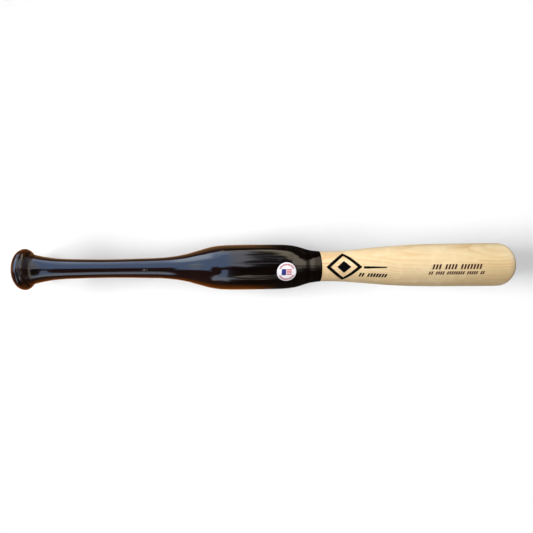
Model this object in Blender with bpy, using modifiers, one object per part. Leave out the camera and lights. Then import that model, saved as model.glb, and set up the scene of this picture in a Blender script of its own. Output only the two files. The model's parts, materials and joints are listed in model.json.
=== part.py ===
"""One-hand batting trainer: a short wooden bat with a second swell between grip and barrel.

The bat lies on its side, knob at -X and barrel end at +X. Units are metres, +Z is up, and the
origin is on the surface that the bat lies on, under the middle of its bounding box.

The whole bat is one maple billet, turned between centres. A dark lacquer coat covers it from
the knob to the finish line. A round sticker lies on the lacquer, and a cut vinyl mark in
three pieces lies on the bare wood beside the finish line.
"""

import math

import bmesh
import bpy
import numpy as np
from mathutils import Vector

# ---------------------------------------------------------------- driving dimensions

LENGTH = 0.635  # 25 in from the knob's face to the barrel's end face
SIDES = 36  # flats round the turned pieces; one flat faces down, so the bat lies still

# The knob: a dome from its flat face out to the crest, and a shoulder back in to the flare.
KNOB_RADIUS = 0.0249
KNOB_FACE_RADIUS = 0.008
DOME_HEIGHT = 0.0105
DOME_POWER = 2.5
SHOULDER_LENGTH = 0.0096
SHOULDER_POWER = 1.73
VALLEY_FILLET = 0.0010  # how softly the shoulder runs into the flare

# The body between knob and barrel end, as a turner's list: distance from the knob's face
# and diameter, in millimetres. A smooth spline runs through the stations.
STATIONS_MM = (
    (15, 38.1),  # flare at the knob
    (26, 32.6),
    (42, 26.9),
    (66, 24.0),
    (108, 22.7),  # thinnest part of the grip
    (150, 24.3),
    (180, 27.3),
    (200, 33.7),
    (220, 44.9),
    (237, 53.5),
    (256, 56.7),  # swell
    (300, 57.3),
    (326, 56.5),
    (341, 53.0),
    (357, 43.8),
    (380, 39.1),  # throat
    (402, 40.3),
    (425, 44.2),
    (465, 51.5),
    (510, 56.0),
    (560, 57.5),
    (615, 58.3),  # thickest part of the barrel
)

# Where the spacing of the turned rings changes, from the knob's face.
FLARE_END = 0.066
GRIP_END = 0.180
SWELL_START = 0.256
SWELL_END = 0.326
THROAT_END = 0.425

# The barrel end: a rounded edge that closes to a flat face.
END_POWER = 2.43
END_FACE_RADIUS = 0.0115

# The lacquer coat and the air gap that keeps it a solid of its own.
FINISH_LINE = 0.372  # where the coat ends, from the knob's face
COAT = 0.0003
GAP = 0.0003

# The round sticker, turned a little to the side of the top line.
STICKER_DIAMETER = 0.024
STICKER_FROM_KNOB = 0.3255
STICKER_TURN = math.radians(-13.5)
FILM = 0.0002  # thickness of the sticker and of the vinyl mark

# The vinyl mark on the bare wood: a lozenge ring with a small lozenge inside, and a long bar.
LOZENGE_FROM_KNOB = 0.400
LOZENGE_TURN = math.radians(-3)
LOZENGE_LENGTH = 0.046
LOZENGE_WIDTH = 0.040
LOZENGE_LINE = 0.0040
CORE_LENGTH = 0.018
CORE_WIDTH = 0.0155
BAR_START = 0.425
BAR_END = 0.454
BAR_WIDTH = 0.0032
BAR_TURN = math.radians(-5)

MM = 0.001

# ---------------------------------------------------------------- the turned profile


def natural_spline(knots, values, end_slope):
    """A cubic spline, free at its first knot and with end_slope at its last, as a function."""
    knots, values = np.array(knots), np.array(values)
    step = np.diff(knots)
    rise = np.diff(values) / step
    count = len(knots)
    matrix, right = np.zeros((count, count)), np.zeros(count)
    matrix[0, 0] = 1
    for i in range(1, count - 1):
        matrix[i, i - 1 : i + 2] = step[i - 1], 2 * (step[i - 1] + step[i]), step[i]
        right[i] = 6 * (rise[i] - rise[i - 1])
    matrix[-1, -2:] = step[-1], 2 * step[-1]
    right[-1] = 6 * (end_slope - rise[-1])
    bend = np.linalg.solve(matrix, right)

    def value(x):
        i = int(np.clip(np.searchsorted(knots, x) - 1, 0, count - 2))
        a, b, h = knots[i + 1] - x, x - knots[i], step[i]
        curve = (bend[i] * a**3 + bend[i + 1] * b**3) / (6 * h)
        line = (values[i] / h - bend[i] * h / 6) * a + (values[i + 1] / h - bend[i + 1] * h / 6) * b
        return curve + line

    return value


body_radius = natural_spline(
    [x * MM for x, _ in STATIONS_MM],
    [diameter * MM / 2 for _, diameter in STATIONS_MM],
    end_slope=0,
)
BARREL_RADIUS = STATIONS_MM[-1][1] * MM / 2
BARREL_ROUND_START = STATIONS_MM[-1][0] * MM


def rounded(share, power):
    """Height of a superellipse over its centre, both as shares of its half axes."""
    return max(0.0, 1 - share**power) ** (1 / power)


# The knob's widest ring, from its face, and the half axis of the barrel end's rounding.
CREST = DOME_HEIGHT * rounded(KNOB_FACE_RADIUS / KNOB_RADIUS, DOME_POWER)
END_HALF_AXIS = (LENGTH - BARREL_ROUND_START) / rounded(END_FACE_RADIUS / BARREL_RADIUS, END_POWER)


def radius_at(x):
    """Radius of the finished bat at a distance x from the knob's face."""
    if x <= CREST:
        return KNOB_RADIUS * rounded((CREST - x) / DOME_HEIGHT, DOME_POWER)
    if x >= BARREL_ROUND_START:
        return BARREL_RADIUS * rounded((x - BARREL_ROUND_START) / END_HALF_AXIS, END_POWER)
    flare = body_radius(x)
    shoulder = KNOB_RADIUS * rounded(min(1.0, (x - CREST) / SHOULDER_LENGTH), SHOULDER_POWER)
    overlap = max(VALLEY_FILLET - abs(shoulder - flare), 0) / VALLEY_FILLET
    return max(shoulder, flare) + overlap**2 * VALLEY_FILLET / 4


def eased(start, end, count, at_start=False, at_end=False):
    """Distances from start to end, crowded towards a limit where the profile turns fast."""
    shares = np.linspace(0, 1, count)
    if at_start:
        shares = 1 - np.cos(shares * math.pi / 2)
    if at_end:
        shares = np.sin(shares * math.pi / 2)
    return [start + (end - start) * share for share in shares]


def stations_between(start, end):
    """Distances along the bat at which a ring is turned, from start to end."""
    spans = (
        (CREST, 7, {"at_start": True}),
        (CREST + SHOULDER_LENGTH, 9, {}),
        (FLARE_END, 6, {}),
        (GRIP_END, 6, {}),
        (SWELL_START, 10, {}),
        (SWELL_END, 4, {}),
        (THROAT_END, 14, {}),
        (BARREL_ROUND_START, 9, {}),
        (LENGTH, 10, {"at_end": True}),
    )
    rings = [0]
    for limit, count, easing in spans:
        rings += eased(rings[-1], limit, count, **easing)[1:]
    inside = [x for x in rings if start + MM < x < end - MM]
    return [start, *inside, end]


def profile(start, end, sink=0.0):
    """(radius, distance) pairs of the bat's side, moved inwards by sink at right angles."""
    pairs = []
    for x in stations_between(start, end):
        step = MM / 20
        low, high = max(0.0, x - step), min(LENGTH, x + step)
        slope = (radius_at(high) - radius_at(low)) / (high - low)
        normal = Vector((1, -slope)).normalized() * sink
        pairs.append((radius_at(x) - normal.x, x - normal.y))
    return pairs


# ---------------------------------------------------------------- building


def clear_scene():
    for obj in list(bpy.data.objects):
        bpy.data.objects.remove(obj)


def material(name, colour, roughness, coat=0.0):
    """A plain non-metal material with the piece's own colour."""
    made = bpy.data.materials.new(name)
    made.use_nodes = True
    shader = made.node_tree.nodes["Principled BSDF"]
    shader.inputs["Base Color"].default_value = (*colour, 1)
    shader.inputs["Roughness"].default_value = roughness
    shader.inputs["Metallic"].default_value = 0
    shader.inputs["Coat Weight"].default_value = coat
    made.diffuse_color = (*colour, 1)
    return made


def add_object(name, mesh, look, collection, axle):
    """A named object with its material, placed by its parent, the turning axis."""
    obj = bpy.data.objects.new(name, mesh)
    obj.data.materials.append(look)
    collection.objects.link(obj)
    obj.parent = axle
    return obj


def turned(name, pairs, look, collection, axle):
    """A piece turned about the bat's axis from (radius, distance) pairs that end on it."""
    mesh = bpy.data.meshes.new(name)
    points = [(radius, 0, distance) for radius, distance in pairs]
    mesh.from_pydata(points, [(i, i + 1) for i in range(len(points) - 1)], [])
    obj = add_object(name, mesh, look, collection, axle)
    obj.rotation_euler.z = math.pi / SIDES  # half a flat, so that a flat faces down
    screw = obj.modifiers.new("turn", "SCREW")
    screw.axis = "Z"
    screw.steps = screw.render_steps = SIDES
    screw.use_merge_vertices = True
    screw.merge_threshold = 0.00005
    screw.use_smooth_shade = True
    return obj


def wrap_on_bat(mesh, from_knob, turn, lift):
    """Lays a flat mesh, X along the bat and Y across it, on the turned surface at that turn.

    turn is the angle from the top line, positive towards +Y, and arc length is kept.
    """
    for vertex in mesh.verts:
        along = from_knob + vertex.co.x
        radius = radius_at(along)
        angle = turn + vertex.co.y / radius
        reach = radius + lift
        vertex.co = Vector((-reach * math.cos(angle), reach * math.sin(angle), along))


def film_piece(name, flat, from_knob, turn, look, collection, axle):
    """A thin adhesive piece: a flat bmesh wrapped on the bat and thickened outwards."""
    wrap_on_bat(flat, from_knob, turn, GAP)
    bmesh.ops.recalc_face_normals(flat, faces=flat.faces)
    from_axis = Vector((1, 1, 0))
    facing_out = sum(face.normal.dot(face.calc_center_median() * from_axis) for face in flat.faces)
    if facing_out < 0:
        bmesh.ops.reverse_faces(flat, faces=flat.faces)
    mesh = bpy.data.meshes.new(name)
    flat.to_mesh(mesh)
    flat.free()
    obj = add_object(name, mesh, look, collection, axle)
    thicken = obj.modifiers.new("film", "SOLIDIFY")
    thicken.thickness = FILM
    thicken.offset = 1
    return obj


def middle_face(flat):
    return min(flat.faces, key=lambda face: face.calc_center_median().length)


def inset_middle(flat, width):
    """Sets the middle face in by a border of that width."""
    bmesh.ops.inset_region(
        flat, faces=[middle_face(flat)], thickness=width, use_boundary=True, use_even_offset=True
    )


def flat_disc(diameter, rings):
    """A disc of rings of faces round a centre point."""
    flat = bmesh.new()
    bmesh.ops.create_circle(flat, cap_ends=True, radius=diameter / 2, segments=32)
    for _ in range(rings - 1):
        inset_middle(flat, diameter / 2 / rings)
    bmesh.ops.poke(flat, faces=[middle_face(flat)])
    return flat


def flat_lozenge(length, width, cuts):
    """A lozenge, cut up finely enough to bend round the bat."""
    flat = bmesh.new()
    bmesh.ops.create_circle(flat, cap_ends=True, radius=0.5, segments=4)
    bmesh.ops.scale(flat, vec=(length, width, 1), verts=flat.verts)
    bmesh.ops.subdivide_edges(flat, edges=flat.edges, cuts=cuts, use_grid_fill=True)
    return flat


def flat_lozenge_ring(length, width, line, cuts):
    """The band between two lozenges, with its line's width measured across the band."""
    flat = bmesh.new()
    bmesh.ops.create_circle(flat, cap_ends=True, radius=0.5, segments=4)
    bmesh.ops.scale(flat, vec=(length, width, 1), verts=flat.verts)
    inset_middle(flat, line)
    bmesh.ops.delete(flat, geom=[middle_face(flat)], context="FACES")
    long_edges = [edge for edge in flat.edges if edge.calc_length() > 2 * line]
    bmesh.ops.subdivide_edges(flat, edges=long_edges, cuts=cuts, use_grid_fill=True)
    return flat


def flat_bar(length, width, pieces):
    """A straight bar along X that starts at the origin and narrows to half its width."""
    flat = bmesh.new()
    bmesh.ops.create_grid(flat, x_segments=pieces, y_segments=1, size=0.5)
    for vertex in flat.verts:
        share = vertex.co.x + 0.5
        vertex.co = Vector((share * length, vertex.co.y * width * (1 - share / 2), 0))
    return flat


def main():
    clear_scene()
    collection = bpy.data.collections.new("one_hand_batting_trainer")
    bpy.context.scene.collection.children.link(collection)

    maple = material("maple", (0.78, 0.60, 0.36), 0.45)
    lacquer = material("dark_lacquer", (0.015, 0.009, 0.007), 0.06, coat=1.0)
    sticker_white = material("sticker_white", (0.86, 0.87, 0.90), 0.35)
    vinyl = material("black_vinyl", (0.012, 0.012, 0.014), 0.40)

    # The turning axis: its local +Z runs from the knob's face to the barrel end.
    axle = bpy.data.objects.new("turning_axis", None)
    collection.objects.link(axle)
    axle.location = (-LENGTH / 2, 0, BARREL_RADIUS * math.cos(math.pi / SIDES))
    axle.rotation_euler = (0, math.pi / 2, 0)

    # The billet: bare wood from the barrel end to the finish line, then under the coat.
    bare = profile(FINISH_LINE + GAP, LENGTH)
    covered = profile(0.0, FINISH_LINE, sink=COAT + GAP)
    covered[-1] = (covered[-1][0], FINISH_LINE + GAP)
    knob_face = COAT + GAP
    covered = [(radius, max(distance, knob_face)) for radius, distance in covered]
    side = [(0, knob_face), *covered, *bare, (0, LENGTH)]
    turned("maple_billet", side[::-1], maple, collection, axle)

    # The coat: a cup that is open at the finish line.
    outer = profile(0.0, FINISH_LINE)
    inner = profile(0.0, FINISH_LINE, sink=COAT)
    inner[-1] = (inner[-1][0], FINISH_LINE)
    inner = [(radius, max(distance, COAT)) for radius, distance in inner]
    shell = [(0, COAT), *inner, *outer[::-1], (0, 0)]
    turned("lacquer_coat", shell, lacquer, collection, axle)

    film_piece(
        "round_sticker",
        flat_disc(STICKER_DIAMETER, rings=5),
        STICKER_FROM_KNOB,
        STICKER_TURN,
        sticker_white,
        collection,
        axle,
    )
    film_piece(
        "mark_lozenge_ring",
        flat_lozenge_ring(LOZENGE_LENGTH, LOZENGE_WIDTH, LOZENGE_LINE, cuts=9),
        LOZENGE_FROM_KNOB,
        LOZENGE_TURN,
        vinyl,
        collection,
        axle,
    )
    film_piece(
        "mark_lozenge_core",
        flat_lozenge(CORE_LENGTH, CORE_WIDTH, cuts=4),
        LOZENGE_FROM_KNOB,
        LOZENGE_TURN,
        vinyl,
        collection,
        axle,
    )
    film_piece(
        "mark_bar",
        flat_bar(BAR_END - BAR_START, BAR_WIDTH, pieces=10),
        BAR_START,
        BAR_TURN,
        vinyl,
        collection,
        axle,
    )


main()
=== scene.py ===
"""Looks of the one-hand batting trainer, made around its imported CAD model.

The bat is turned again as two smooth pieces through the rings of its CAD solids: the maple and the
lacquer coat. The sticker, the vinyl mark and three rows of small printed ticks are thin films
wrapped on that surface. All places are measured from the CAD nodes' boxes. Units are metres, the
knob is at -X, the barrel end at +X, and +Z is up from the floor that the bat lies on. The bat's
back is its +Y side, and a turn is an angle round the bat from its top line towards the back.
"""

import json
import math

import bmesh
import bpy
import numpy as np
from mathutils import Matrix, Vector

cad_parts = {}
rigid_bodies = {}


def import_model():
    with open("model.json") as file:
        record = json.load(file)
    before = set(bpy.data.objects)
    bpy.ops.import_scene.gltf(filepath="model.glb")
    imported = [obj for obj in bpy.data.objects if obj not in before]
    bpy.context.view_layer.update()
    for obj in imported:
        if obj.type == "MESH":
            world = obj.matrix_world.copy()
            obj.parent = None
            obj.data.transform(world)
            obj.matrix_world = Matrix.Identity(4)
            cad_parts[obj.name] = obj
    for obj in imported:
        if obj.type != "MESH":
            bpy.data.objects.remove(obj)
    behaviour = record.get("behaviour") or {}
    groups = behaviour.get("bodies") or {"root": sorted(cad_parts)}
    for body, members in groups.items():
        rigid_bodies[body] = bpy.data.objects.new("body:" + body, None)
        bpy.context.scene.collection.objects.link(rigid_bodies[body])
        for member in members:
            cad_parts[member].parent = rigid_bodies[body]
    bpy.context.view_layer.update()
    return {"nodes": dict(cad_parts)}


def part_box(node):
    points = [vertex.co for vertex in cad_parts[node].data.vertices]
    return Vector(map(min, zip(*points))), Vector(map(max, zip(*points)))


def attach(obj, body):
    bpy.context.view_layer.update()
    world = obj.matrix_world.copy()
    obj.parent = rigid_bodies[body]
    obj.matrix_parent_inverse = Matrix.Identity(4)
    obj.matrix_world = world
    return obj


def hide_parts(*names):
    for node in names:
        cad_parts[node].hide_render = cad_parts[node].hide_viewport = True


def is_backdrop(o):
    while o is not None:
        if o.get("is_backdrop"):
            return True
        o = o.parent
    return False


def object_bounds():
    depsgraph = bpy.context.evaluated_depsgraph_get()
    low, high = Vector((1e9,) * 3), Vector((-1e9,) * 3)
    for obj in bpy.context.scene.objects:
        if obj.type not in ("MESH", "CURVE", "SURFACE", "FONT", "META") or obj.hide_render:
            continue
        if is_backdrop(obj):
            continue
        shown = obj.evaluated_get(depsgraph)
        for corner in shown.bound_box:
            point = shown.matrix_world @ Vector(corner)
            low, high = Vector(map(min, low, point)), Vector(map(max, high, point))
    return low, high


for leftover in list(bpy.data.objects):
    bpy.data.objects.remove(leftover)

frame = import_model()

MM = 0.001
COAT_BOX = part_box("lacquer_coat")
BILLET_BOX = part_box("maple_billet")
KNOB_FACE = COAT_BOX[0].x
FINISH_LINE = COAT_BOX[1].x
BARREL_END = BILLET_BOX[1].x
AXIS_Z = (COAT_BOX[0].z + COAT_BOX[1].z) / 2

SIDES = 128
PROFILE_STEP = 0.25 * MM
TIGHT_BEND = 12  # radians for each metre along the side
COAT_THICKNESS = 0.10 * MM
STICKER_THICKNESS = 0.12 * MM
MARK_THICKNESS = 0.07 * MM
INK_THICKNESS = 0.03 * MM

# The finish line is not quite square to the bat, so the last stretch of the coat is skewed.
FINISH_SLANT = math.tan(math.radians(-1.3))
SKEWED_STRETCH = 12 * MM

STICKER_TURN = math.radians(-13.5)
MARK_TURN = math.radians(-3)
BAR_TURN = math.radians(-5)
LOZENGE_LINE = 4.0 * MM
BAR_WIDTH = 3.2 * MM

# Shares of a lozenge's length, and of a tick's height.
RING_WIDTH = 0.87
CORE_WIDTH = 0.86
TICK_SLANT = 0.28

# A flat end face has rings at these shares of its edge's radius.
FACE_SHARES = (0, 0.33, 0.66)

# ---------------------------------------------------------------- the turned surface


def outer_rings(node):
    """(x, radius) of every ring on the outside of a turned CAD node, sorted by x."""
    mesh = frame["nodes"][node].data
    rings = {}
    for face in mesh.polygons:
        outward = Vector((0, face.center.y, face.center.z - AXIS_Z)).normalized()
        is_inside_or_end = face.normal.dot(outward) < 0.01
        if is_inside_or_end:
            continue
        for index in face.vertices:
            point = mesh.vertices[index].co
            rings[round(point.x, 6)] = math.hypot(point.y, point.z - AXIS_Z)
    return sorted(rings.items())


def natural_spline(knots, values, wanted):
    """Values at the wanted places of the natural cubic spline through the knots."""
    step = np.diff(knots)
    rise = np.diff(values) / step
    count = len(knots)
    matrix, right = np.eye(count), np.zeros(count)
    for i in range(1, count - 1):
        matrix[i, i - 1 : i + 2] = step[i - 1], 2 * (step[i - 1] + step[i]), step[i]
        right[i] = 6 * (rise[i] - rise[i - 1])
    bend = np.linalg.solve(matrix, right)
    i = np.clip(np.searchsorted(knots, wanted) - 1, 0, count - 2)
    a, b, h = knots[i + 1] - wanted, wanted - knots[i], step[i]
    curve = (bend[i] * a**3 + bend[i + 1] * b**3) / (6 * h)
    line = (values[i] / h - bend[i] * h / 6) * a + (values[i + 1] / h - bend[i + 1] * h / 6) * b
    return curve + line


def smooth_profile():
    """(x, radius) arrays of the bat's side, from the knob's face to the end face.

    The coat's last ring is left out, so the side runs smoothly over the finish line.
    """
    bare = [ring for ring in outer_rings("maple_billet") if ring[0] > FINISH_LINE + 2 * MM]
    rings = np.array(outer_rings("lacquer_coat")[:-1] + bare)
    run = np.concatenate([[0], np.cumsum(np.hypot(*np.diff(rings, axis=0).T))])
    wanted = np.linspace(0, run[-1], int(run[-1] / PROFILE_STEP) + 1)
    return natural_spline(run, rings[:, 0], wanted), natural_spline(run, rings[:, 1], wanted)


# LEAN is the sine of the side's slope, and TURN_RATE how fast the slope changes along it.
PROFILE_X, PROFILE_R = smooth_profile()
SIDE_LENGTHS = np.hypot(np.gradient(PROFILE_X), np.gradient(PROFILE_R))
LEAN = np.gradient(PROFILE_R) / np.maximum(SIDE_LENGTHS, 1e-9)
TURN_RATE = np.abs(np.gradient(np.arcsin(np.clip(LEAN, -1, 1)))) / PROFILE_STEP


def radius_at(x):
    """Radius of the bat's side at a place along X, away from its two end faces."""
    return float(np.interp(x, PROFILE_X, PROFILE_R))


def around_axis(x, radius, turn):
    """The point at a radius from the bat's axis."""
    return Vector((x, radius * math.sin(turn), AXIS_Z + radius * math.cos(turn)))


def pick_rings(low, high, step, fine_step):
    """Indices into the profile from low to high: every step, and every fine_step where it bends."""
    picked = [int(np.searchsorted(PROFILE_X, low))]
    last = int(np.searchsorted(PROFILE_X, high)) - 1
    index = picked[0]
    while index < last:
        wanted = fine_step if TURN_RATE[index] > TIGHT_BEND else step
        index = min(last, index + max(1, round(wanted / PROFILE_STEP)))
        picked.append(index)
    return picked


def side_loop(indices, sink=0.0):
    """(x, radius) pairs at those profile indices, moved in by sink at right angles to the side."""
    lean = LEAN[indices]
    flat = np.sqrt(1 - np.minimum(lean**2, 1))
    x = PROFILE_X[indices] + lean * sink
    return list(zip(x, PROFILE_R[indices] - flat * sink))


# ---------------------------------------------------------------- building pieces


def add_piece(mesh, look, node=None):
    """A visible piece that rides on the bat, in place of its CAD node if it has one."""
    piece = bpy.data.objects.new(mesh.name, mesh)
    bpy.context.scene.collection.objects.link(piece)
    piece.data.materials.append(look)
    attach(piece, "root")
    if node:
        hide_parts(node)
    return piece


def finished_mesh(name, shape):
    """The bmesh as a smoothly shaded mesh."""
    mesh = bpy.data.meshes.new(name)
    shape.to_mesh(mesh)
    shape.free()
    mesh.shade_smooth()
    return mesh


def ring_angles(sides):
    """The turns of a ring's points."""
    return [2 * math.pi * side / sides for side in range(sides)]


def join_rings(shape, rings, sides):
    """Adds the faces between each ring of points and the next. A ring can be a single point."""
    for before, after in zip(rings, rings[1:]):
        for side in range(sides):
            places = ((before, side), (after, side), (after, side + 1), (before, side + 1))
            corners = [ring[k % len(ring)] for ring, k in places]
            shape.faces.new(list(dict.fromkeys(corners)))


def turned_mesh(name, pairs):
    """A closed solid of revolution from (x, radius) pairs, whose first and last lie on the axis."""
    shape = bmesh.new()
    rings = []
    for x, radius in pairs:
        turns = ring_angles(SIDES) if radius > MM / 100 else [0]
        rings.append([shape.verts.new(around_axis(x, radius, turn)) for turn in turns])
    join_rings(shape, rings, SIDES)
    bmesh.ops.recalc_face_normals(shape, faces=shape.faces)
    return finished_mesh(name, shape)


def patch(shape, corners, columns, rows):
    """Adds a four-cornered flat patch, cut into columns by rows faces."""
    corners = [np.array(corner) for corner in corners]
    grid = []
    for row in range(rows + 1):
        v = row / rows
        start, end = corners[0] * (1 - v) + corners[3] * v, corners[1] * (1 - v) + corners[2] * v
        line = [start * (1 - u) + end * u for u in np.linspace(0, 1, columns + 1)]
        grid.append([shape.verts.new((*point, 0)) for point in line])
    for low, high in zip(grid, grid[1:]):
        for i in range(columns):
            shape.faces.new((low[i], low[i + 1], high[i + 1], high[i]))


def facing_out(face):
    """Above 0 if the face looks away from the bat's axis."""
    from_axis = face.calc_center_median() - Vector((0, 0, AXIS_Z))
    return face.normal.dot(from_axis * Vector((0, 1, 1)))


def film_mesh(name, shape, x, turn, with_print_map=False):
    """Wraps a flat bmesh on the bat: its X runs along the bat from x, its Y round it from turn.

    The print map, where wanted, keeps each point's place on the flat film, in millimetres.
    """
    bmesh.ops.remove_doubles(shape, verts=shape.verts, dist=MM / 50)
    if with_print_map:
        print_map = shape.loops.layers.uv.new("print")
        for face in shape.faces:
            for loop in face.loops:
                loop[print_map].uv = loop.vert.co.xy / MM
    for vertex in shape.verts:
        place = x + vertex.co.x
        radius = radius_at(place)
        vertex.co = around_axis(place, radius, turn + vertex.co.y / radius)
    bmesh.ops.recalc_face_normals(shape, faces=shape.faces)
    if sum(facing_out(face) for face in shape.faces) < 0:
        bmesh.ops.reverse_faces(shape, faces=shape.faces)
    return finished_mesh(name, shape)


def thicken(piece, thickness):
    """Gives a thin film its thickness, outwards from the surface."""
    solidify = piece.modifiers.new("film", "SOLIDIFY")
    solidify.thickness = thickness
    solidify.offset = 1
    solidify.use_even_offset = True


# ---------------------------------------------------------------- node trees


class Nodes:
    """A node tree that is built by short calls."""

    def __init__(self, tree):
        self.tree = tree
        tree.nodes.clear()

    def add(self, kind, inputs=None, **settings):
        """A node with its settings, and its inputs set or linked."""
        node = self.tree.nodes.new(kind)
        for key, value in settings.items():
            setattr(node, key, value)
        for key, value in (inputs or {}).items():
            self.feed(node.inputs[key], value)
        return node

    def feed(self, socket, value):
        """Links the value to the socket if it comes from a node, and else sets it."""
        if isinstance(value, bpy.types.NodeSocket):
            self.tree.links.new(value, socket)
        else:
            socket.default_value = value

    def math(self, operation, a, b=0.0, c=0.0):
        return self.add("ShaderNodeMath", {0: a, 1: b, 2: c}, operation=operation).outputs[0]

    def times(self, first, *others):
        """The product of all the values."""
        for other in others:
            first = self.math("MULTIPLY", first, other)
        return first

    def scale_range(self, value, low, high, to_low=0.0, to_high=1.0):
        """Smooth step of value from low to high, as to_low to to_high."""
        inputs = {"Value": value, "From Min": low, "From Max": high, "To Min": to_low, "To Max": to_high}
        return self.add("ShaderNodeMapRange", inputs, interpolation_type="SMOOTHSTEP").outputs[0]

    def band(self, value, low, high, soft):
        """1 between low and high, 0 outside, with soft edges."""
        rise = self.scale_range(value, low - soft, low + soft)
        fall = self.scale_range(value, high - soft, high + soft, 1.0, 0.0)
        return self.times(rise, fall)

    def mix(self, factor, a, b, blend="MIX"):
        inputs = {0: factor, 6: a, 7: b}
        return self.add("ShaderNodeMix", inputs, data_type="RGBA", blend_type=blend).outputs[2]

    def place(self):
        """The point on the object, in metres."""
        return self.add("ShaderNodeTexCoord").outputs["Object"]

    def parts(self, vector):
        """The vector's X, Y and Z."""
        return self.add("ShaderNodeSeparateXYZ", {0: vector}).outputs

    def length(self, vector):
        return self.add("ShaderNodeVectorMath", {0: vector}, operation="LENGTH").outputs["Value"]

    def stretched(self, vector, scale, location=(0, 0, 0)):
        inputs = {"Vector": vector, "Scale": scale, "Location": location}
        return self.add("ShaderNodeMapping", inputs).outputs[0]

    def noise(self, vector, scale=1.0, detail=2.0, roughness=0.5, distortion=0.0):
        inputs = {"Vector": vector, "Scale": scale, "Detail": detail}
        inputs.update({"Roughness": roughness, "Distortion": distortion})
        return self.add("ShaderNodeTexNoise", inputs).outputs["Fac"]

    def bump(self, height, strength, distance):
        inputs = {"Strength": strength, "Distance": distance, "Height": height}
        return self.add("ShaderNodeBump", inputs).outputs[0]


def new_material(name):
    """A material with a Principled shader, as (material, its nodes, the shader node)."""
    material = bpy.data.materials.new(name)
    material.use_nodes = True
    nodes = Nodes(material.node_tree)
    shader = nodes.add("ShaderNodeBsdfPrincipled")
    nodes.add("ShaderNodeOutputMaterial", {"Surface": shader.outputs[0]})
    return material, nodes, shader


def feed_shader(nodes, shader, **sockets):
    """Sets or links the shader's sockets, named with underscores for spaces."""
    for name, value in sockets.items():
        nodes.feed(shader.inputs[name.replace("_", " ")], value)


# ---------------------------------------------------------------- maple

MAPLE_PALE = (0.785, 0.632, 0.398, 1)
MAPLE_DEEP = (0.75, 0.578, 0.337, 1)
GROWTH_LINE = (0.60, 0.36, 0.15, 1)
MINERAL_STREAK = (0.62, 0.36, 0.14, 1)
DARK_FIBRE = (0.62, 0.42, 0.20, 1)
BRIGHT_FIGURE = (0.92, 0.77, 0.53, 1)
OPEN_PORE = (0.36, 0.21, 0.10, 1)
BARREL_END_PAINTED_SHADE = (0.945, 0.94, 0.87, 1)

PITH_OFFSET = (0, 0.095, 0.055)
PITH_TAPER = 0.03
RING_SPACING = 2.7 * MM
RING_WANDER = 14 * MM


def growth_lines(nodes, place, along):
    """How dark the growth lines are, from 0 to 1.

    The rings lie round a pith outside the billet, and slow noise bends them. Where they meet the
    side flatly they show as long flames. They are fainter in patches and near the barrel end.
    """
    slow = nodes.noise(nodes.stretched(place, (6, 16, 16)), detail=3.0)
    distance = nodes.length(nodes.stretched(place, (PITH_TAPER, 1, 1), location=PITH_OFFSET))
    bent = nodes.math("MULTIPLY_ADD", slow, RING_WANDER, distance)
    rings = nodes.math("FRACT", nodes.math("DIVIDE", bent, RING_SPACING))
    line = nodes.times(nodes.scale_range(rings, 0.25, 0.86), nodes.scale_range(rings, 0.86, 1.0, 1.0, 0.0))
    patches = nodes.noise(nodes.stretched(place, (11, 34, 34), location=(3, 1, 2)), detail=1.0)
    patch_weight = nodes.scale_range(patches, 0.34, 0.66, 0.12, 0.62)
    end_fade = nodes.scale_range(along, BARREL_END - 45 * MM, BARREL_END - 5 * MM, 1.0, 0.45)
    return nodes.times(line, patch_weight, end_fade)


def maple():
    """Clear-finished maple: growth lines along the bat, soft figure across it, fine fibre, and painted shade
    towards the barrel end.
    """
    material, nodes, shader = new_material("maple_satin")
    place = nodes.place()
    along = nodes.parts(place)[0]
    tone = nodes.noise(nodes.stretched(place, (7, 22, 22), location=(1, 5, 9)), detail=2.0)
    fibre = nodes.noise(nodes.stretched(place, (24, 520, 520)), detail=3.0, roughness=0.65)
    pores = nodes.noise(nodes.stretched(place, (160, 1500, 1500)), detail=1.0)
    figure = nodes.noise(nodes.stretched(place, (75, 95, 95), location=(2, 2, 2)), detail=1.5, distortion=0.2)
    mineral = nodes.noise(nodes.stretched(place, (13, 230, 230), location=(6, 3, 1)), detail=2.0)

    colour = nodes.mix(nodes.scale_range(tone, 0.35, 0.65), MAPLE_PALE, MAPLE_DEEP)
    colour = nodes.mix(growth_lines(nodes, place, along), colour, GROWTH_LINE)
    colour = nodes.mix(nodes.scale_range(mineral, 0.62, 0.76, 0.0, 0.40), colour, MINERAL_STREAK)
    colour = nodes.mix(nodes.scale_range(fibre, 0.42, 0.70, 0.0, 0.12), colour, DARK_FIBRE)
    colour = nodes.mix(nodes.scale_range(figure, 0.50, 0.70, 0.0, 0.30), colour, BRIGHT_FIGURE)
    colour = nodes.mix(nodes.scale_range(pores, 0.69, 0.76, 0.0, 0.30), colour, OPEN_PORE)
    # Painted shade: the wood is made darker and yellower towards the barrel end, standing in for less light
    # and sheen falling there.
    end_painted_shade = nodes.scale_range(along, BARREL_END - 260 * MM, BARREL_END)
    colour = nodes.mix(end_painted_shade, colour, BARREL_END_PAINTED_SHADE, "MULTIPLY")

    feed_shader(nodes, shader, Base_Color=colour, Roughness=nodes.scale_range(fibre, 0.3, 0.7, 0.34, 0.44))
    feed_shader(nodes, shader, Normal=nodes.bump(fibre, 0.25, 0.12 * MM))
    feed_shader(nodes, shader, Coat_Weight=0.25, Coat_Roughness=0.22)
    return material


# ---------------------------------------------------------------- dark lacquer

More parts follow.
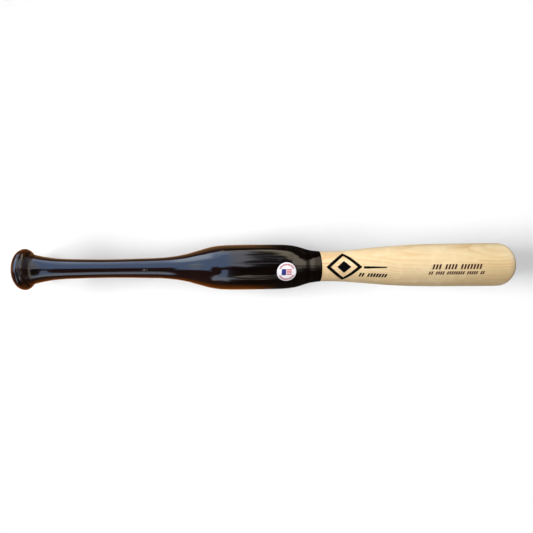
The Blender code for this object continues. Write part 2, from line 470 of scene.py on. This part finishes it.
LACQUER_BLACK = (0.0050, 0.0024, 0.0018, 1)
LACQUER_BROWN = (0.0095, 0.0040, 0.0022, 1)
KNOB_SIDE_PAINTED_REFLECTION = (0.12, 0.030, 0.004, 1)
NECK_BROWN = (0.024, 0.010, 0.006, 1)
NECK_TOP_GREY = (0.17, 0.14, 0.12, 1)
BARE_CHIP = (0.50, 0.47, 0.45, 1)

# Stretches of the lacquered part, in metres from the knob's face.
KNOB = (0.0, 0.0205)
DOME_EDGE = (0.0104, 0.0118)
NECK = (0.0145, 0.0230)
NECK_TOP_GREY_EDGE = (0.0200, 0.0210)
CHIP = (0.1500, 0.1570)
THROAT_RING = (0.3504, 0.3560)
THROAT_END = (0.3595, 0.3645)

# Turns, in radians.
CHIP_TURNS = (-0.28, -0.08)
DOME_TOP_TURNS = (-0.42, 0.52)
DOME_BACK_EDGE = (0.50, 0.60)


def lacquer_colour(nodes, place, from_knob, turn):
    """Nearly black brown, with a painted amber reflection on the knob's sides, grey on top of its neck, and
    one small chip.
    """
    off_top = nodes.math("ABSOLUTE", turn)
    streaks = nodes.noise(nodes.stretched(place, (10, 160, 160)), detail=3.0)
    colour = nodes.mix(nodes.scale_range(streaks, 0.35, 0.7), LACQUER_BLACK, LACQUER_BROWN)

    # Painted reflection: the knob's sides, away from its top line, turn amber as if reflecting a warm floor.
    knob_side_reflection = nodes.times(nodes.band(from_knob, *KNOB, 1.5 * MM), nodes.scale_range(off_top, 0.6, 1.25))
    colour = nodes.mix(knob_side_reflection, colour, KNOB_SIDE_PAINTED_REFLECTION)

    # The neck is grey on its top side, starting a little way past the knob, and brown round its underside.
    top_grey = nodes.times(nodes.scale_range(from_knob, *NECK_TOP_GREY_EDGE), nodes.scale_range(off_top, 0.9, 0.5))
    neck_colour = nodes.mix(top_grey, NECK_BROWN, NECK_TOP_GREY)
    colour = nodes.mix(nodes.band(from_knob, *NECK, 0.6 * MM), colour, neck_colour)

    grit = nodes.noise(nodes.stretched(place, (700, 700, 700)), detail=1.0)
    chip = nodes.times(nodes.band(from_knob, *CHIP, 1 * MM), nodes.band(turn, *CHIP_TURNS, 0.03))
    return nodes.mix(nodes.times(chip, nodes.scale_range(grit, 0.50, 0.62)), colour, BARE_CHIP)


def lacquer_shine(nodes, from_knob, turn):
    """The specular level and the coat weight.

    The knob's dome shines the most. The coat is dull in the neck, in the steepest part of the
    throat, towards the finish line and on the back of the dome.
    """
    neck = nodes.band(from_knob, *NECK, 0.6 * MM)
    throat_ring = nodes.band(from_knob, *THROAT_RING, 2 * MM)
    throat_end = nodes.scale_range(from_knob, *THROAT_END, 0.0, 0.8)
    dome = nodes.scale_range(from_knob, *DOME_EDGE, 1.0, 0.0)
    dome_top = nodes.times(dome, nodes.band(turn, *DOME_TOP_TURNS, 0.05))
    dome_back = nodes.times(dome, nodes.scale_range(turn, *DOME_BACK_EDGE), 0.6)
    rings = nodes.math("MAXIMUM", neck, throat_ring)
    dull = nodes.math("MAXIMUM", rings, nodes.math("MAXIMUM", dome_back, throat_end))
    level = nodes.math("MULTIPLY_ADD", dome_top, 0.75, 0.25)
    level = nodes.math("ADD", level, nodes.times(rings, -0.15))
    return level, nodes.math("MULTIPLY_ADD", dull, -0.9, 1.0)


def dark_lacquer():
    """Deep gloss over nearly black brown, a little uneven, with a few specks of dust in it."""
    material, nodes, shader = new_material("dark_lacquer_gloss")
    place = nodes.place()
    x, y, z = nodes.parts(place)
    from_knob = nodes.math("SUBTRACT", x, KNOB_FACE)
    turn = nodes.math("ARCTAN2", y, nodes.math("SUBTRACT", z, AXIS_Z))
    cloud = nodes.noise(nodes.stretched(place, (14, 14, 14)), detail=2.0)
    waves = nodes.noise(nodes.stretched(place, (55, 90, 90)), detail=2.0)
    dust = nodes.noise(nodes.stretched(place, (420, 420, 420)), detail=0.0)
    height = nodes.math("MULTIPLY_ADD", nodes.scale_range(dust, 0.80, 0.84), 0.25, waves)
    level, coat_weight = lacquer_shine(nodes, from_knob, turn)
    feed_shader(nodes, shader, Base_Color=lacquer_colour(nodes, place, from_knob, turn))
    feed_shader(nodes, shader, Roughness=nodes.scale_range(cloud, 0.3, 0.7, 0.10, 0.16))
    feed_shader(nodes, shader, Specular_IOR_Level=level, Coat_Weight=coat_weight)
    feed_shader(nodes, shader, Coat_Roughness=0.025, Coat_IOR=1.5)
    feed_shader(nodes, shader, Coat_Normal=nodes.bump(height, 0.35, 0.10 * MM))
    return material


# ---------------------------------------------------------------- films and ink

STICKER_WHITE = (0.79, 0.80, 0.86, 1)
STICKER_WORN = (0.62, 0.58, 0.55, 1)
DASH_RED = (0.34, 0.006, 0.028, 1)
BLOCK_BLUE = (0.010, 0.012, 0.17, 1)
BAR_RED = (0.52, 0.045, 0.075, 1)

# The sticker's print, in millimetres from its middle.
DASH_RING = (8.3, 10.5)
DASHES_IN_HALF_TURN = 15
EMBLEM_HALF_HEIGHT = 3.9
BLOCK_SPAN = (-6.2, -0.6)
BARS_SPAN = (0.0, 6.4)
BAR_PITCH = 1.95
PRINT_EDGE = 0.12

VINYL_DARK = (0.001, 0.001, 0.0013, 1)
VINYL_PALE = (0.003, 0.003, 0.0033, 1)
INK_DARK = (0.040, 0.010, 0.009, 1)
INK_THIN = (0.085, 0.032, 0.024, 1)


def printed_sticker():
    """White film printed with two arcs of red dashes, a blue block and red bars beside it."""
    material, nodes, shader = new_material("sticker_print")
    flat = nodes.add("ShaderNodeUVMap", uv_map="print").outputs[0]
    along, across, _ = nodes.parts(flat)

    # Two arcs of dashes near the rim, over and under the middle.
    dash_turns = nodes.times(nodes.math("ARCTAN2", across, along), DASHES_IN_HALF_TURN / math.pi)
    dashes = nodes.band(nodes.math("FRACT", dash_turns), 0.14, 0.84, 0.06)
    ring = nodes.band(nodes.length(flat), *DASH_RING, PRINT_EDGE)
    arcs = nodes.times(ring, dashes, nodes.scale_range(nodes.math("ABSOLUTE", across), 4.0, 4.4))

    # The emblem: a blue block, and red bars at its right.
    emblem_height = nodes.band(across, -EMBLEM_HALF_HEIGHT, EMBLEM_HALF_HEIGHT, PRINT_EDGE)
    block = nodes.times(nodes.band(along, *BLOCK_SPAN, PRINT_EDGE), emblem_height)
    stripes = nodes.band(nodes.math("FRACT", nodes.math("DIVIDE", across, BAR_PITCH)), 0.18, 0.82, 0.06)
    bars = nodes.times(nodes.band(along, *BARS_SPAN, PRINT_EDGE), emblem_height, stripes)

    colour = nodes.mix(arcs, STICKER_WHITE, DASH_RED)
    colour = nodes.mix(block, colour, BLOCK_BLUE)
    colour = nodes.mix(bars, colour, BAR_RED)
    wear = nodes.noise(flat, scale=0.6, detail=3.0)
    colour = nodes.mix(nodes.scale_range(wear, 0.55, 0.8, 0.0, 0.12), colour, STICKER_WORN)
    feed_shader(nodes, shader, Base_Color=colour, Roughness=nodes.scale_range(wear, 0.3, 0.7, 0.30, 0.42))
    return material


def black_vinyl():
    """Satin black film with a fine, slightly uneven surface."""
    material, nodes, shader = new_material("black_vinyl_satin")
    mottle = nodes.noise(nodes.place(), scale=260.0, detail=2.0)
    colour = nodes.mix(nodes.scale_range(mottle, 0.3, 0.7), VINYL_DARK, VINYL_PALE)
    feed_shader(nodes, shader, Base_Color=colour, Roughness=nodes.scale_range(mottle, 0.3, 0.7, 0.50, 0.62))
    feed_shader(nodes, shader, Specular_IOR_Level=0.02)
    return material


def burnt_ink():
    """Dark red-brown ink, thinner and paler in places."""
    material, nodes, shader = new_material("dark_red_ink")
    mottle = nodes.noise(nodes.place(), scale=900.0, detail=2.0)
    colour = nodes.mix(nodes.scale_range(mottle, 0.4, 0.7), INK_DARK, INK_THIN)
    feed_shader(nodes, shader, Base_Color=colour, Roughness=nodes.scale_range(mottle, 0.3, 0.7, 0.40, 0.55))
    feed_shader(nodes, shader, Specular_IOR_Level=0.1)
    return material


# ---------------------------------------------------------------- the pieces


def make_billet():
    """The maple, under the coat and bare, with rounded steps where the coat ends."""
    indices = pick_rings(KNOB_FACE, FINISH_LINE, 6 * MM, 1 * MM)
    indices += pick_rings(FINISH_LINE, BARREL_END, 1.6 * MM, 0.5 * MM)[1:]

    # How deep the wood lies below the outer surface, at some distances from the finish line.
    from_finish = np.array([-14, -8, 4, 12]) * MM
    depths = np.array([5, 1, 1, 0]) * COAT_THICKNESS
    pairs = []
    for index in indices:
        sink = float(np.interp(PROFILE_X[index] - FINISH_LINE, from_finish, depths))
        pairs += side_loop([index], sink)
    end_face = [(BARREL_END, pairs[-1][1] * share) for share in reversed(FACE_SHARES)]
    mesh = turned_mesh("maple_billet_turned", [(pairs[0][0], 0)] + pairs + end_face)
    add_piece(mesh, maple(), "maple_billet")


def make_coat():
    """The lacquer: a thin cup over the knob, grip and swell, with a rounded lip."""
    outer = side_loop(pick_rings(KNOB_FACE, FINISH_LINE, 1.5 * MM, 0.5 * MM))
    inner = side_loop(pick_rings(KNOB_FACE, FINISH_LINE, 6 * MM, 1 * MM), sink=2 * COAT_THICKNESS)
    knob_face = [(KNOB_FACE, outer[0][1] * share) for share in FACE_SHARES]
    lip_x, lip_radius = outer[-1]
    lip = []
    for bend in np.linspace(0, math.pi / 2, 6)[1:]:
        drop = COAT_THICKNESS * (1 - math.cos(bend))
        lip.append((lip_x + COAT_THICKNESS * math.sin(bend), lip_radius - drop))
    inside_face = KNOB_FACE + 2 * COAT_THICKNESS
    inside = [(max(x, inside_face), radius) for x, radius in reversed(inner)] + [(inside_face, 0)]
    mesh = turned_mesh("lacquer_coat_gloss", knob_face + outer + lip + inside)
    for vertex in mesh.vertices:
        near = min(1.0, max(0.0, 1 - (FINISH_LINE - vertex.co.x) / SKEWED_STRETCH))
        vertex.co.x += near * FINISH_SLANT * vertex.co.y
    add_piece(mesh, dark_lacquer(), "lacquer_coat")


def make_sticker():
    """The round sticker on the swell."""
    low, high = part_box("round_sticker")
    radius, middle = (high.x - low.x) / 2, (low.x + high.x) / 2
    sides, ring_count = 96, 14
    shape = bmesh.new()
    rings = [[shape.verts.new((0, 0, 0))]]
    for ring in range(1, ring_count + 1):
        reach = radius * ring / ring_count
        points = [(reach * math.cos(a), reach * math.sin(a), 0) for a in ring_angles(sides)]
        rings.append([shape.verts.new(point) for point in points])
    join_rings(shape, rings, sides)
    mesh = film_mesh("round_sticker_print", shape, middle, STICKER_TURN, with_print_map=True)
    thicken(add_piece(mesh, printed_sticker(), "round_sticker"), STICKER_THICKNESS)


def lozenge_corners(length, width):
    """The corners of a lozenge round the origin."""
    return [(-length / 2, 0), (0, -width / 2), (length / 2, 0), (0, width / 2)]


def add_mark_piece(name, shape, x, turn, vinyl, node):
    """One cut shape of the mark."""
    piece = add_piece(film_mesh(name, shape, x, turn), vinyl, node)
    thicken(piece, MARK_THICKNESS)


def make_mark(vinyl):
    """The lozenge ring, its core and the bar, with crisp edges."""
    low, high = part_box("mark_lozenge_ring")
    middle, length = (low.x + high.x) / 2, high.x - low.x
    width = length * RING_WIDTH
    shrink = 1 - LOZENGE_LINE * 2 * math.hypot(length, width) / (length * width)
    outside, inside = lozenge_corners(length, width), lozenge_corners(length * shrink, width * shrink)
    ring = bmesh.new()
    for i in range(4):
        j = (i + 1) % 4
        patch(ring, [outside[i], outside[j], inside[j], inside[i]], columns=36, rows=4)
    add_mark_piece("mark_ring_vinyl", ring, middle, MARK_TURN, vinyl, "mark_lozenge_ring")

    low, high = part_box("mark_lozenge_core")
    length = high.x - low.x
    core = bmesh.new()
    patch(core, lozenge_corners(length, length * CORE_WIDTH), columns=20, rows=20)
    add_mark_piece("mark_core_vinyl", core, middle, MARK_TURN, vinyl, "mark_lozenge_core")

    # The bar tapers to half its width towards the barrel end.
    low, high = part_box("mark_bar")
    length, half = high.x - low.x, BAR_WIDTH / 2
    bar = bmesh.new()
    patch(bar, [(0, -half), (length, -half / 2), (length, half / 2), (0, half)], columns=40, rows=4)
    add_mark_piece("mark_bar_vinyl", bar, low.x, BAR_TURN, vinyl, "mark_bar")


def tick_row(name, look, start, end, turn, height, weight, groups):
    """A row of even slanted ticks in groups, printed on the wood along X.

    The groups say how many ticks stand together, and weight is a tick's share of the pitch.
    """
    pitch = (end - start) / (sum(groups) + len(groups) - 1)
    stroke, slant = weight * pitch, TICK_SLANT * height
    low, high = -height / 2, height / 2
    shape = bmesh.new()
    left = 0.0
    for group in groups:
        for _ in range(group):
            right = left + stroke
            corners = [(left, low), (right, low), (right + slant, high), (left + slant, high)]
            patch(shape, corners, columns=2, rows=6)
            left += pitch
        left += pitch
    piece = add_piece(film_mesh(name, shape, start, turn), look)
    thicken(piece, INK_THICKNESS)


def make_tick_rows(vinyl):
    """The row beside the mark and the two near the barrel end."""
    ink = burnt_ink()
    rows = (
        # name, look, start and end from the knob's face, turn in degrees, height in mm, weight, groups
        ("mark_ticks", vinyl, 0.419, 0.455, -31, 5.4, 0.68, (2, 7)),
        ("print_ticks_upper", ink, 0.512, 0.579, -4.5, 6.6, 0.60, (3, 4, 7)),
        ("print_ticks_lower", ink, 0.508, 0.583, -21, 4.4, 0.70, (2, 4, 8, 5, 2)),
    )
    for name, look, start, end, turn, height, weight, groups in rows:
        start, end = KNOB_FACE + start, KNOB_FACE + end
        tick_row(name, look, start, end, math.radians(turn), height * MM, weight, groups)


# ---------------------------------------------------------------- floor, lights and camera

FLOOR_GREY = (0.82, 0.82, 0.82, 1)
WHITE = (1, 1, 1, 1)


def make_floor():
    """A plain pale floor, just under the lowest point of the bat, that fades to white far off."""
    shape = bmesh.new()
    bmesh.ops.create_grid(shape, x_segments=1, y_segments=1, size=6)
    floor = bpy.data.objects.new("floor", finished_mesh("floor", shape))
    bpy.context.scene.collection.objects.link(floor)
    floor.location.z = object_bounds()[0][2] - 0.05 * MM
    material, nodes, shader = new_material("pale_floor")
    feed_shader(nodes, shader, Base_Color=FLOOR_GREY, Roughness=0.9, Specular_IOR_Level=0.0)
    white = nodes.add("ShaderNodeEmission", {"Color": WHITE, "Strength": 1.0})
    fade = nodes.scale_range(nodes.length(nodes.place()), 0.50, 1.10)
    blend = nodes.add("ShaderNodeMixShader", {0: fade, 1: shader.outputs[0], 2: white.outputs[0]})
    nodes.feed(nodes.tree.get_output_node("ALL").inputs["Surface"], blend.outputs[0])
    floor.data.materials.append(material)
    floor.visible_glossy = False
    floor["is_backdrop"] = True
    return floor


def collect(name, objects):
    """A collection that names what a light shines on."""
    receivers = bpy.data.collections.new(name)
    for obj in objects:
        receivers.objects.link(obj)
    return receivers


def softbox(name, place, target, size, power, receivers, colour=(1, 1, 1)):
    """A rectangular area light that points at target and shines on the receivers only."""
    light = bpy.data.lights.new(name, "AREA")
    light.shape = "RECTANGLE"
    light.size, light.size_y = size
    light.energy = power
    light.color = colour
    box = bpy.data.objects.new(name, light)
    bpy.context.scene.collection.objects.link(box)
    box.location = place
    box.rotation_euler = (Vector(target) - Vector(place)).to_track_quat("-Z", "Y").to_euler()
    box.visible_camera = False
    box.light_linking.receiver_collection = receivers
    return box


def even_with_distance(light):
    """Makes a light as strong far away as near, so that it lights the whole floor evenly."""
    light.use_nodes = True
    nodes = Nodes(light.node_tree)
    falloff = nodes.add("ShaderNodeLightFalloff", {"Strength": 1.0})
    emission = nodes.add("ShaderNodeEmission", {"Strength": falloff.outputs["Constant"]})
    nodes.add("ShaderNodeOutputLight", {"Surface": emission.outputs[0]})


def light_floor(floor):
    """A broad fill, a small lift under the grip, and a low light from beyond the knob."""
    receivers = collect("floor_light", [floor])
    grip_x = KNOB_FACE + 49 * MM
    fill = softbox("floor_fill", (0, 0, 2.2), (0, 0, 0), size=(3.4, 3.4), power=49, receivers=receivers)
    fill.data.use_shadow = False
    above_floor, floor_point, small = (grip_x, 0, 0.021), (grip_x, 0, 0), (0.03, 0.03)
    lift = softbox("floor_lift", above_floor, floor_point, small, power=0.0055, receivers=receivers)
    lift.data.use_shadow = False
    past_knob, aim = (-0.975, -0.083, 0.38), (0.6, 0, 1.7)
    side = softbox("floor_side", past_knob, aim, size=(0.675, 0.65), power=43, receivers=receivers)
    even_with_distance(side.data)


def light_bat(coated, bare):
    """A faint glow for the lacquer, and a warm key and fill for the wood and what is on it."""
    on_wood, on_lacquer = collect("wood_light", bare), collect("lacquer_light", coated)
    grip, barrel, size = (-0.15, 0, 0.03), (0.05, 0, 0.03), (0.9, 0.9)
    key_colour, fill_colour = (1.0, 0.985, 0.97), (1.0, 0.965, 0.92)
    glow = softbox("lacquer_glow", (-0.10, 0.10, 1.20), grip, size, power=4, receivers=on_lacquer)
    glow.visible_glossy = False
    softbox("wood_key", (-0.50, 0.74, 0.90), barrel, size, 17.5, on_wood, key_colour)
    softbox("wood_fill", (-0.38, -0.25, 1.16), barrel, size, 10.5, on_wood, fill_colour)


def make_camera():
    """Straight above the bat and close, tilted a little so that the barrel end is farther off."""
    tilt, roll = math.radians(5.5), math.radians(0.6)
    distance, aim_from_knob = 0.4948, 0.3028
    aim_right, aim_up = 0.64 * MM, 0.52 * MM
    forward = Vector((math.sin(tilt), 0, -math.cos(tilt)))
    level_right = Vector((math.cos(tilt), 0, math.sin(tilt)))
    right = level_right * math.cos(roll) - Vector((0, 1, 0)) * math.sin(roll)
    up = level_right * math.sin(roll) + Vector((0, 1, 0)) * math.cos(roll)
    target = Vector((KNOB_FACE + aim_from_knob, 0, AXIS_Z)) + right * aim_right + up * aim_up
    lens = bpy.data.cameras.new("camera")
    lens.sensor_width = 36
    lens.lens = 25.94
    lens.clip_start = 0.01
    camera = bpy.data.objects.new("camera", lens)
    bpy.context.scene.collection.objects.link(camera)
    basis = Matrix((right, up, -forward)).transposed().to_4x4()
    camera.matrix_world = Matrix.Translation(target - forward * distance) @ basis
    bpy.context.scene.camera = camera


# ---------------------------------------------------------------- what the gloss reflects

ROOM_WARM = (0.17, 0.075, 0.065, 1)
ROOM_DARK = (0.030, 0.024, 0.021, 1)
SKY_LOW = (0.95, 1.35, 2.30, 1)
SKY_HIGH = (1.9, 2.25, 3.1, 1)
SKY_BRIGHT = (3.0, 3.5, 4.4, 1)
SKY_GREY = (1.5, 1.55, 1.75, 1)
SKY_IN_FRONT = (1.6, 1.8, 2.2, 1)
SKY_STRIP = (1.0, 1.35, 2.1, 1)
WALL_CREAM = (1.9, 1.65, 1.25, 1)
WALL_EDGE = (1.9, 1.7, 1.4, 1)
WALL_LOW = (1.8, 1.6, 1.3, 1)
WALL_THROAT = (1.5, 1.4, 1.15, 1)
WALL_WEDGE = (1.9, 1.65, 1.3, 1)
STREAK_DIM = (0.6, 0.6, 0.62, 1)
STREAK_PALE = (1.0, 1.0, 1.05, 1)
STREAK_BLUE = (0.9, 0.9, 1.0, 1)
KNOB_DARK = (0.20, 0.13, 0.12, 1)
KNOB_BROWN = (0.75, 0.5, 0.4, 1)
KNOB_SKY_LOW = (0.45, 0.45, 0.72, 1)
KNOB_SKY_HIGH = (1.15, 1.35, 1.95, 1)
KNOB_SKY_EDGE = (1.4, 1.25, 1.2, 1)
KNOB_TAN_LOW = (0.35, 0.22, 0.18, 1)
KNOB_TAN_HIGH = (2.3, 2.0, 1.7, 1)
KNOB_TAN_FRONT = (1.7, 1.5, 1.2, 1)
KNOB_GREY = (1.25, 1.25, 1.3, 1)
FACE_SKY = (1.7, 2.0, 2.5, 1)
FACE_BROWN = (0.55, 0.38, 0.36, 1)
RIM_FRONT = (0.43, 0.115, 0.012, 1)
RIM_BACK = (0.45, 0.22, 0.09, 1)
RIM_TOWARDS_KNOB = (0.50, 0.15, 0.03, 1)
RIM_DARK = (0.026, 0.022, 0.018, 1)
RIM_TAN = (1.9, 1.65, 1.4, 1)
DIFFUSE_FILL = (0.10, 0.10, 0.104, 1)


class Surroundings:
    """What the gloss reflects, painted round the bat as large soft cards, one over another.

    Cards are placed by roll, the angle in degrees round the bat's axis from overhead towards its
    back, and by lean, the sine of the angle towards +X. The plain roll and lean have slow noise in
    them, so that edges placed by them wander. The true ones are exact.
    """

    def __init__(self, nodes):
        self.nodes = nodes
        x, y, z = nodes.parts(nodes.add("ShaderNodeTexCoord").outputs["Generated"])
        self.true_lean = x
        self.true_roll = nodes.math("DEGREES", nodes.math("ARCTAN2", y, z))
        self.streaks = self.field(3, 7, 1.5)
        self.waves = self.field(7, 22, 4.5)
        self.ridges = self.field(5, 30, 8.5)
        self.lean = self.wander(self.true_lean, self.streaks, 0.22)
        self.roll = self.wander(self.true_roll, self.waves, 34)
        self.gaps = nodes.scale_range(self.streaks, 0.40, 0.60)
        self.colour = nodes.mix(nodes.scale_range(self.lean, -0.16, 0.04), ROOM_WARM, ROOM_DARK)

    def field(self, lean_scale, roll_degrees, seed):
        """Noise over lean and roll, with features about roll_degrees apart."""
        along = self.nodes.math("MULTIPLY", self.true_lean, lean_scale)
        around = self.nodes.math("DIVIDE", self.true_roll, roll_degrees)
        place = self.nodes.add("ShaderNodeCombineXYZ", {0: along, 1: around, 2: seed}).outputs[0]
        return self.nodes.noise(place, detail=3.0, roughness=0.6)

    def wander(self, value, noise, reach):
        """The value, moved by the noise by up to half of reach either way."""
        return self.nodes.math("MULTIPLY_ADD", self.nodes.math("SUBTRACT", noise, 0.5), reach, value)

    def card(self, rolls, leans, roll_soft=4, lean_soft=0.03, weight=1.0):
        """1 on a soft-edged patch between two rolls and two leans, times weight."""
        around = self.nodes.band(self.roll, *rolls, roll_soft)
        along = self.nodes.band(self.lean, *leans, lean_soft)
        return self.nodes.times(around, along, weight)

    def paint(self, mask, colour):
        """Covers what is there with colour, where the mask is 1."""
        self.colour = self.nodes.mix(mask, self.colour, colour)


def paint_window(seen):
    """The blue window that the grip and the swell reflect, and what shows of it in front."""
    nodes = seen.nodes
    height = seen.wander(seen.true_roll, seen.ridges, 90)
    sky = nodes.mix(nodes.scale_range(height, 60, 88), SKY_LOW, SKY_HIGH)
    towards_knob = nodes.scale_range(seen.lean, -0.22, -0.45)
    sky = nodes.mix(nodes.times(nodes.scale_range(seen.true_roll, 45, 65), towards_knob), sky, SKY_BRIGHT)
    sky = nodes.mix(nodes.scale_range(seen.true_lean, -0.10, 0.0), sky, SKY_GREY)
    seen.paint(seen.card((3, 92), (-0.62, 0.05)), sky)
    seen.paint(seen.card((-18, 6), (-0.62, -0.44)), sky)
    seen.paint(seen.card((-74, -47), (-0.36, -0.05), lean_soft=0.02), SKY_IN_FRONT)

    # A narrow strip reaches from that last card towards the window. It is wider at the card.
    widened = nodes.math("MULTIPLY_ADD", nodes.scale_range(seen.true_roll, -26, -46), 0.08, seen.true_lean)
    strip = nodes.times(
        nodes.scale_range(widened, -0.175, -0.150),
        nodes.scale_range(seen.true_lean, -0.085, -0.062, 1.0, 0.0),
        nodes.band(seen.true_roll, -50, -13, 3),
    )
    seen.paint(strip, SKY_STRIP)


def paint_wall(seen):
    """The cream wall that the swell and the throat reflect, broken up by dark streaks."""
    nodes = seen.nodes
    past_low_edge = nodes.scale_range(
        nodes.math("MULTIPLY_ADD", seen.true_roll, 0.0036, seen.lean), 0.36, 0.46
    )
    below_high_edge = nodes.scale_range(
        nodes.math("MULTIPLY_ADD", seen.true_lean, 75, seen.true_roll), 110, 101
    )
    seen.paint(nodes.times(seen.card((28, 98), (0.04, 0.33)), past_low_edge, below_high_edge), WALL_CREAM)
    seen.paint(seen.card((91, 99), (-0.14, 0.10), roll_soft=2), WALL_EDGE)
    seen.paint(seen.card((83, 91), (-0.12, 0.02), roll_soft=2, weight=seen.gaps), STREAK_DIM)
    seen.paint(seen.card((34, 62), (0.08, 0.20), roll_soft=3, weight=seen.gaps), STREAK_PALE)
    seen.paint(seen.card((17, 22), (-0.02, 0.16), roll_soft=2), STREAK_BLUE)
    seen.paint(seen.card((-66, -44), (0.0, 0.19), weight=seen.gaps), WALL_LOW)
    seen.paint(seen.card((-32, 8), (0.36, 0.68), weight=nodes.times(seen.gaps, 0.5)), WALL_THROAT)

    # Where the throat is steep the wall shows as a wedge that narrows with lean, dim near overhead.
    wedge = nodes.times(
        nodes.scale_range(nodes.math("MULTIPLY_ADD", seen.lean, 95, seen.roll), 117, 108),
        nodes.band(seen.lean, 0.34, 0.76, 0.012),
        nodes.scale_range(seen.roll, -16, -10),
        nodes.scale_range(seen.roll, 2, 14, 0.35, 1.0),
    )
    seen.paint(wedge, WALL_WEDGE)


def paint_knob(seen):
    """What the knob alone is steep enough to reflect: a brown room, a window and a tan ring."""
    nodes, lean, roll = seen.nodes, seen.true_lean, seen.true_roll
    steep = nodes.scale_range(lean, 0.722, 0.750)
    seen.paint(steep, nodes.mix(nodes.scale_range(seen.streaks, 0.4, 0.6), KNOB_DARK, KNOB_BROWN))

    sky = nodes.mix(nodes.scale_range(roll, 0, 50), KNOB_SKY_LOW, KNOB_SKY_HIGH)
    sky = nodes.mix(nodes.scale_range(roll, 80, 92), sky, KNOB_SKY_EDGE)
    seen.paint(nodes.times(steep, nodes.band(roll, -48, 98, 6)), sky)

    tan = nodes.mix(nodes.scale_range(roll, 5, 60), KNOB_TAN_LOW, KNOB_TAN_HIGH)
    tan = nodes.mix(nodes.scale_range(roll, -66, -80), tan, KNOB_TAN_FRONT)
    seen.paint(nodes.times(nodes.scale_range(lean, 0.955, 0.980), nodes.band(roll, -101, 112, 3)), tan)
    seen.paint(nodes.times(nodes.band(lean, 0.74, 0.90, 0.015), nodes.band(roll, -86, -58, 3)), KNOB_GREY)

    # The knob's face and the near end of the swell lean the other way, to a sky that turns brown.
    behind = nodes.mix(nodes.scale_range(lean, -0.66, -0.74), FACE_SKY, FACE_BROWN)
    seen.paint(seen.card((-16, 60), (-1.3, -0.61)), behind)


def paint_rims(seen):
    """The warm floor that the bat's sides reflect. It is dark at higher leans, and tan behind."""
    nodes = seen.nodes
    rim_roll = seen.wander(seen.true_roll, seen.waves, 10)
    back, front = nodes.scale_range(rim_roll, 107, 121), nodes.scale_range(rim_roll, -96, -118)
    warm = nodes.mix(nodes.scale_range(seen.true_roll, -20, 20), RIM_FRONT, RIM_BACK)
    warm = nodes.mix(nodes.scale_range(seen.lean, -0.45, -0.60), warm, RIM_TOWARDS_KNOB)
    warm = nodes.mix(nodes.scale_range(seen.lean, 0.02, 0.14), warm, RIM_DARK)
    seen.paint(nodes.math("MAXIMUM", back, front), warm)
    steep = nodes.scale_range(seen.true_lean, 0.54, 0.62)
    seen.paint(nodes.times(steep, nodes.band(seen.true_roll, 98, 118, 3)), RIM_TAN)


def make_world():
    """White to the camera, dim to matt surfaces; gloss sees large soft cards round the bat."""
    world = bpy.data.worlds.new("studio")
    bpy.context.scene.world = world
    world.use_nodes = True
    nodes = Nodes(world.node_tree)
    seen = Surroundings(nodes)
    for paint in (paint_window, paint_wall, paint_knob, paint_rims):
        paint(seen)
    ray = nodes.add("ShaderNodeLightPath").outputs
    plain = nodes.mix(ray["Is Camera Ray"], DIFFUSE_FILL, WHITE)
    colour = nodes.mix(ray["Is Glossy Ray"], plain, seen.colour)
    background = nodes.add("ShaderNodeBackground", {"Color": colour, "Strength": 1.0})
    nodes.add("ShaderNodeOutputWorld", {"Surface": background.outputs[0]})


make_billet()
make_coat()
make_sticker()
black_film = black_vinyl()
make_mark(black_film)
make_tick_rows(black_film)

pale_floor = make_floor()
bat = [obj for obj in bpy.data.objects if obj.type == "MESH" and obj is not pale_floor]
coated_pieces = [piece for piece in bat if "lacquer" in piece.name]
bare_pieces = [piece for piece in bat if "lacquer" not in piece.name]
for piece in bare_pieces:
    piece.visible_diffuse = False
light_floor(pale_floor)
light_bat(coated_pieces, bare_pieces)
make_world()
make_camera()
bpy.context.scene.view_settings.view_transform = "Standard"
